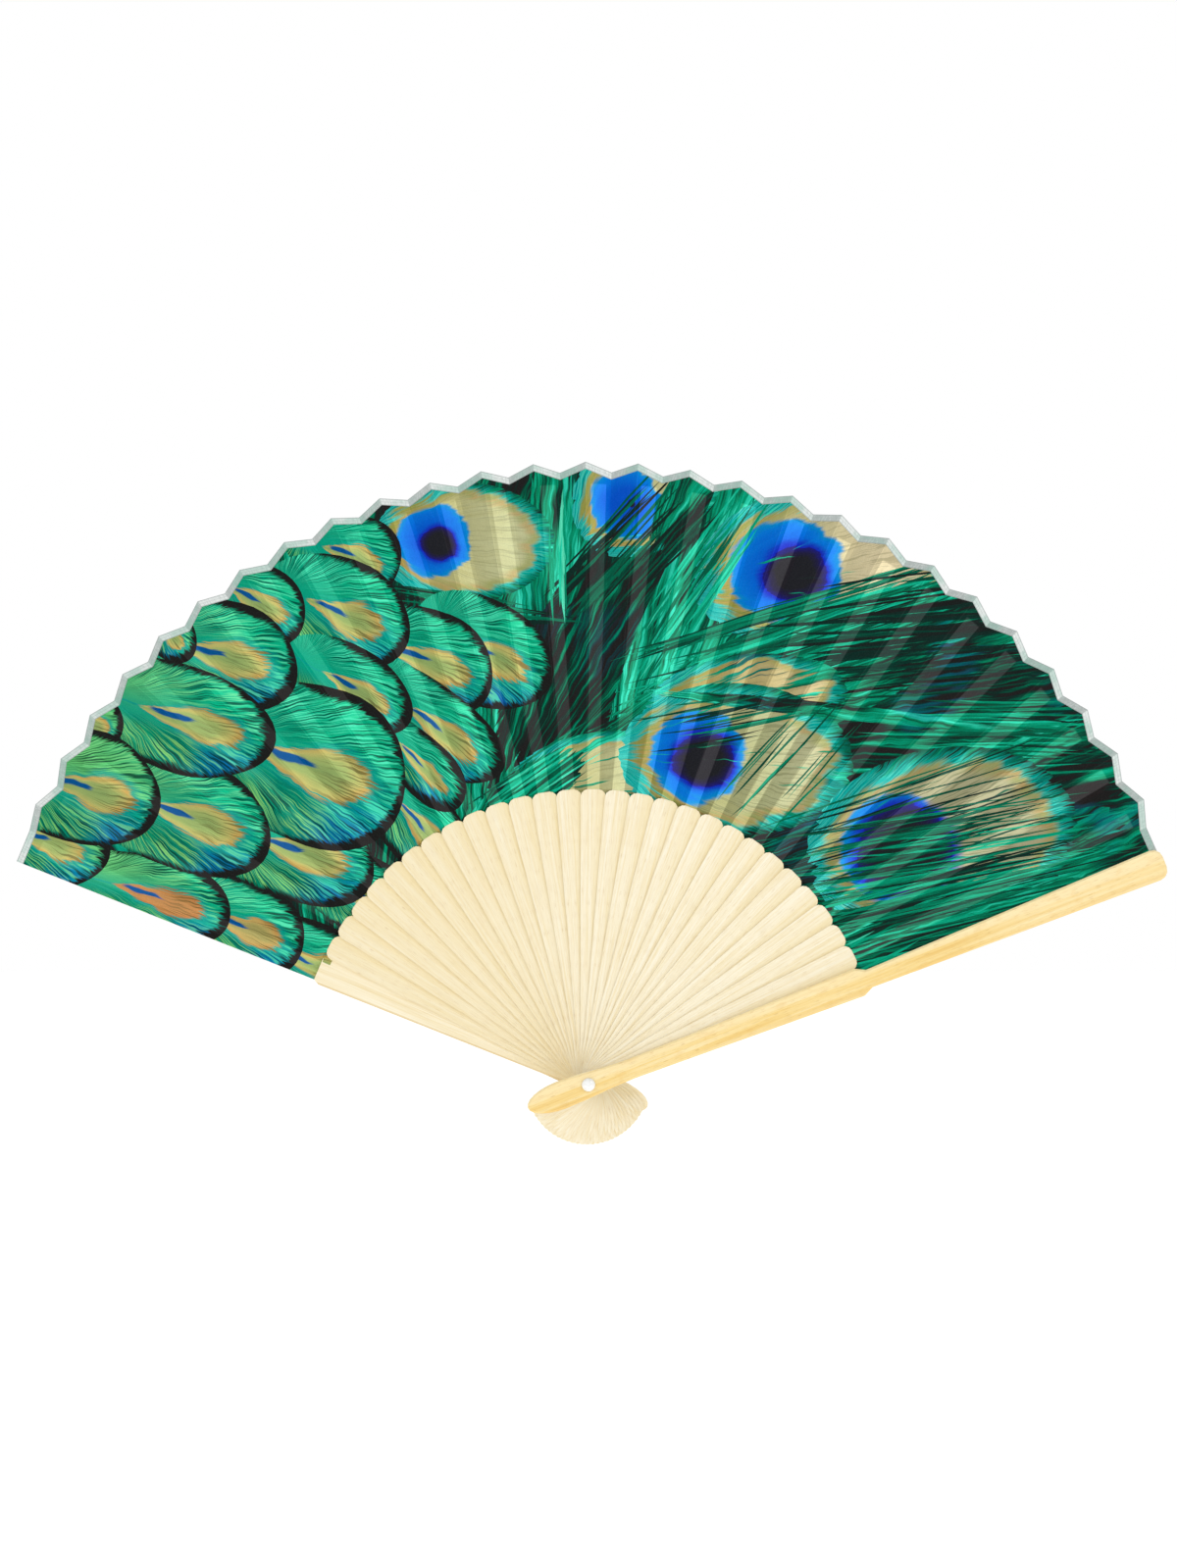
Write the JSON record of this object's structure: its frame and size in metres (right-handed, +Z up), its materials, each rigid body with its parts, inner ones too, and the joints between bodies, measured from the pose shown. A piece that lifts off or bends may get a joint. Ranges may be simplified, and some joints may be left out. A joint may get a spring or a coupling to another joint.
{
  "type": "folding hand fan",
  "caption": "Pleated folding hand fan: bamboo ribs and guards turn on a rivet and carry a cloth leaf printed like peacock feathers; it opens and folds flat.",
  "frame": {"origin": "on the rivet's axis, halfway between the two guards", "axes": "+Z up the open fan, +X towards the front guard's side, +Y along the rivet towards the rear guard, so -Y is the front"},
  "size_m": [0.356, 0.0256, 0.2114],
  "materials": {
    "rib_bamboo": "pale sanded bamboo, satin",
    "guard_bamboo": "yellow bamboo skin, varnished",
    "leaf_cloth": "thin woven cloth, printed",
    "rivet_plastic": "glossy white"
  },
  "bodies": {
    "front_guard": {"front_guard": "guard_bamboo", "leaf_end": "leaf_cloth", "rivet_pin": "rivet_plastic", "rivet_cap": "rivet_plastic"},
    "rib_27": {"rib_27": "rib_bamboo", "leaf_pleat_27": "leaf_cloth"},
    "rib_26": {"rib_26": "rib_bamboo", "leaf_pleat_26": "leaf_cloth"},
    "rib_25": {"rib_25": "rib_bamboo", "leaf_pleat_25": "leaf_cloth"},
    "rib_24": {"rib_24": "rib_bamboo", "leaf_pleat_24": "leaf_cloth"},
    "rib_23": {"rib_23": "rib_bamboo", "leaf_pleat_23": "leaf_cloth"},
    "rib_22": {"rib_22": "rib_bamboo", "leaf_pleat_22": "leaf_cloth"},
    "rib_21": {"rib_21": "rib_bamboo", "leaf_pleat_21": "leaf_cloth"},
    "rib_20": {"rib_20": "rib_bamboo", "leaf_pleat_20": "leaf_cloth"},
    "rib_19": {"rib_19": "rib_bamboo", "leaf_pleat_19": "leaf_cloth"},
    "rib_18": {"rib_18": "rib_bamboo", "leaf_pleat_18": "leaf_cloth"},
    "rib_17": {"rib_17": "rib_bamboo", "leaf_pleat_17": "leaf_cloth"},
    "rib_16": {"rib_16": "rib_bamboo", "leaf_pleat_16": "leaf_cloth"},
    "rib_15": {"rib_15": "rib_bamboo", "leaf_pleat_15": "leaf_cloth"},
    "rib_14": {"rib_14": "rib_bamboo", "leaf_pleat_14": "leaf_cloth"},
    "rib_13": {"rib_13": "rib_bamboo", "leaf_pleat_13": "leaf_cloth"},
    "rib_12": {"rib_12": "rib_bamboo", "leaf_pleat_12": "leaf_cloth"},
    "rib_11": {"rib_11": "rib_bamboo", "leaf_pleat_11": "leaf_cloth"},
    "rib_10": {"rib_10": "rib_bamboo", "leaf_pleat_10": "leaf_cloth"},
    "rib_09": {"rib_09": "rib_bamboo", "leaf_pleat_09": "leaf_cloth"},
    "rib_08": {"rib_08": "rib_bamboo", "leaf_pleat_08": "leaf_cloth"},
    "rib_07": {"rib_07": "rib_bamboo", "leaf_pleat_07": "leaf_cloth"},
    "rib_06": {"rib_06": "rib_bamboo", "leaf_pleat_06": "leaf_cloth"},
    "rib_05": {"rib_05": "rib_bamboo", "leaf_pleat_05": "leaf_cloth"},
    "rib_04": {"rib_04": "rib_bamboo", "leaf_pleat_04": "leaf_cloth"},
    "rib_03": {"rib_03": "rib_bamboo", "leaf_pleat_03": "leaf_cloth"},
    "rib_02": {"rib_02": "rib_bamboo", "leaf_pleat_02": "leaf_cloth"},
    "rib_01": {"rib_01": "rib_bamboo", "leaf_pleat_01": "leaf_cloth"},
    "rear_guard": {"rear_guard": "guard_bamboo", "leaf_pleat_00": "leaf_cloth"}
  },
  "joints": [
    {"name": "fold_27", "type": "hinge", "parent": "front_guard", "child": "rib_27", "pos_m": [0, 0, 0], "axis": [0, 1, 0], "range_deg": [0, 4.85], "deforming": ["leaf_pleat_27"]},
    {"name": "fold_26", "type": "hinge", "parent": "rib_27", "child": "rib_26", "pos_m": [0, 0, 0], "axis": [0, 1, 0], "range_deg": [0, 4.85], "deforming": ["leaf_pleat_26"]},
    {"name": "fold_25", "type": "hinge", "parent": "rib_26", "child": "rib_25", "pos_m": [0, 0, 0], "axis": [0, 1, 0], "range_deg": [0, 4.85], "deforming": ["leaf_pleat_25"]},
    {"name": "fold_24", "type": "hinge", "parent": "rib_25", "child": "rib_24", "pos_m": [0, 0, 0], "axis": [0, 1, 0], "range_deg": [0, 4.85], "deforming": ["leaf_pleat_24"]},
    {"name": "fold_23", "type": "hinge", "parent": "rib_24", "child": "rib_23", "pos_m": [0, 0, 0], "axis": [0, 1, 0], "range_deg": [0, 4.85], "deforming": ["leaf_pleat_23"]},
    {"name": "fold_22", "type": "hinge", "parent": "rib_23", "child": "rib_22", "pos_m": [0, 0, 0], "axis": [0, 1, 0], "range_deg": [0, 4.85], "deforming": ["leaf_pleat_22"]},
    {"name": "fold_21", "type": "hinge", "parent": "rib_22", "child": "rib_21", "pos_m": [0, 0, 0], "axis": [0, 1, 0], "range_deg": [0, 4.85], "deforming": ["leaf_pleat_21"]},
    {"name": "fold_20", "type": "hinge", "parent": "rib_21", "child": "rib_20", "pos_m": [0, 0, 0], "axis": [0, 1, 0], "range_deg": [0, 4.85], "deforming": ["leaf_pleat_20"]},
    {"name": "fold_19", "type": "hinge", "parent": "rib_20", "child": "rib_19", "pos_m": [0, 0, 0], "axis": [0, 1, 0], "range_deg": [0, 4.85], "deforming": ["leaf_pleat_19"]},
    {"name": "fold_18", "type": "hinge", "parent": "rib_19", "child": "rib_18", "pos_m": [0, 0, 0], "axis": [0, 1, 0], "range_deg": [0, 4.85], "deforming": ["leaf_pleat_18"]},
    {"name": "fold_17", "type": "hinge", "parent": "rib_18", "child": "rib_17", "pos_m": [0, 0, 0], "axis": [0, 1, 0], "range_deg": [0, 4.85], "deforming": ["leaf_pleat_17"]},
    {"name": "fold_16", "type": "hinge", "parent": "rib_17", "child": "rib_16", "pos_m": [0, 0, 0], "axis": [0, 1, 0], "range_deg": [0, 4.85], "deforming": ["leaf_pleat_16"]},
    {"name": "fold_15", "type": "hinge", "parent": "rib_16", "child": "rib_15", "pos_m": [0, 0, 0], "axis": [0, 1, 0], "range_deg": [0, 4.85], "deforming": ["leaf_pleat_15"]},
    {"name": "fold_14", "type": "hinge", "parent": "rib_15", "child": "rib_14", "pos_m": [0, 0, 0], "axis": [0, 1, 0], "range_deg": [0, 4.85], "deforming": ["leaf_pleat_14"]},
    {"name": "fold_13", "type": "hinge", "parent": "rib_14", "child": "rib_13", "pos_m": [0, 0, 0], "axis": [0, 1, 0], "range_deg": [0, 4.85], "deforming": ["leaf_pleat_13"]},
    {"name": "fold_12", "type": "hinge", "parent": "rib_13", "child": "rib_12", "pos_m": [0, 0, 0], "axis": [0, 1, 0], "range_deg": [0, 4.85], "deforming": ["leaf_pleat_12"]},
    {"name": "fold_11", "type": "hinge", "parent": "rib_12", "child": "rib_11", "pos_m": [0, 0, 0], "axis": [0, 1, 0], "range_deg": [0, 4.85], "deforming": ["leaf_pleat_11"]},
    {"name": "fold_10", "type": "hinge", "parent": "rib_11", "child": "rib_10", "pos_m": [0, 0, 0], "axis": [0, 1, 0], "range_deg": [0, 4.85], "deforming": ["leaf_pleat_10"]},
    {"name": "fold_09", "type": "hinge", "parent": "rib_10", "child": "rib_09", "pos_m": [0, 0, 0], "axis": [0, 1, 0], "range_deg": [0, 4.85], "deforming": ["leaf_pleat_09"]},
    {"name": "fold_08", "type": "hinge", "parent": "rib_09", "child": "rib_08", "pos_m": [0, 0, 0], "axis": [0, 1, 0], "range_deg": [0, 4.85], "deforming": ["leaf_pleat_08"]},
    {"name": "fold_07", "type": "hinge", "parent": "rib_08", "child": "rib_07", "pos_m": [0, 0, 0], "axis": [0, 1, 0], "range_deg": [0, 4.85], "deforming": ["leaf_pleat_07"]},
    {"name": "fold_06", "type": "hinge", "parent": "rib_07", "child": "rib_06", "pos_m": [0, 0, 0], "axis": [0, 1, 0], "range_deg": [0, 4.85], "deforming": ["leaf_pleat_06"]},
    {"name": "fold_05", "type": "hinge", "parent": "rib_06", "child": "rib_05", "pos_m": [0, 0, 0], "axis": [0, 1, 0], "range_deg": [0, 4.85], "deforming": ["leaf_pleat_05"]},
    {"name": "fold_04", "type": "hinge", "parent": "rib_05", "child": "rib_04", "pos_m": [0, 0, 0], "axis": [0, 1, 0], "range_deg": [0, 4.85], "deforming": ["leaf_pleat_04"]},
    {"name": "fold_03", "type": "hinge", "parent": "rib_04", "child": "rib_03", "pos_m": [0, 0, 0], "axis": [0, 1, 0], "range_deg": [0, 4.85], "deforming": ["leaf_pleat_03"]},
    {"name": "fold_02", "type": "hinge", "parent": "rib_03", "child": "rib_02", "pos_m": [0, 0, 0], "axis": [0, 1, 0], "range_deg": [0, 4.85], "deforming": ["leaf_pleat_02"]},
    {"name": "fold_01", "type": "hinge", "parent": "rib_02", "child": "rib_01", "pos_m": [0, 0, 0], "axis": [0, 1, 0], "range_deg": [0, 4.85], "deforming": ["leaf_pleat_01"]},
    {"name": "fold_00", "type": "hinge", "parent": "rib_01", "child": "rear_guard", "pos_m": [0, 0, 0], "axis": [0, 1, 0], "range_deg": [0, 4.85], "deforming": ["leaf_pleat_00"]}
  ],
  "couplings": [
    {"joint": "fold_26", "follows": "fold_27", "ratio": 1},
    {"joint": "fold_25", "follows": "fold_27", "ratio": 1},
    {"joint": "fold_24", "follows": "fold_27", "ratio": 1},
    {"joint": "fold_23", "follows": "fold_27", "ratio": 1},
    {"joint": "fold_22", "follows": "fold_27", "ratio": 1},
    {"joint": "fold_21", "follows": "fold_27", "ratio": 1},
    {"joint": "fold_20", "follows": "fold_27", "ratio": 1},
    {"joint": "fold_19", "follows": "fold_27", "ratio": 1},
    {"joint": "fold_18", "follows": "fold_27", "ratio": 1},
    {"joint": "fold_17", "follows": "fold_27", "ratio": 1},
    {"joint": "fold_16", "follows": "fold_27", "ratio": 1},
    {"joint": "fold_15", "follows": "fold_27", "ratio": 1},
    {"joint": "fold_14", "follows": "fold_27", "ratio": 1},
    {"joint": "fold_13", "follows": "fold_27", "ratio": 1},
    {"joint": "fold_12", "follows": "fold_27", "ratio": 1},
    {"joint": "fold_11", "follows": "fold_27", "ratio": 1},
    {"joint": "fold_10", "follows": "fold_27", "ratio": 1},
    {"joint": "fold_09", "follows": "fold_27", "ratio": 1},
    {"joint": "fold_08", "follows": "fold_27", "ratio": 1},
    {"joint": "fold_07", "follows": "fold_27", "ratio": 1},
    {"joint": "fold_06", "follows": "fold_27", "ratio": 1},
    {"joint": "fold_05", "follows": "fold_27", "ratio": 1},
    {"joint": "fold_04", "follows": "fold_27", "ratio": 1},
    {"joint": "fold_03", "follows": "fold_27", "ratio": 1},
    {"joint": "fold_02", "follows": "fold_27", "ratio": 1},
    {"joint": "fold_01", "follows": "fold_27", "ratio": 1},
    {"joint": "fold_00", "follows": "fold_27", "ratio": 1}
  ]
}
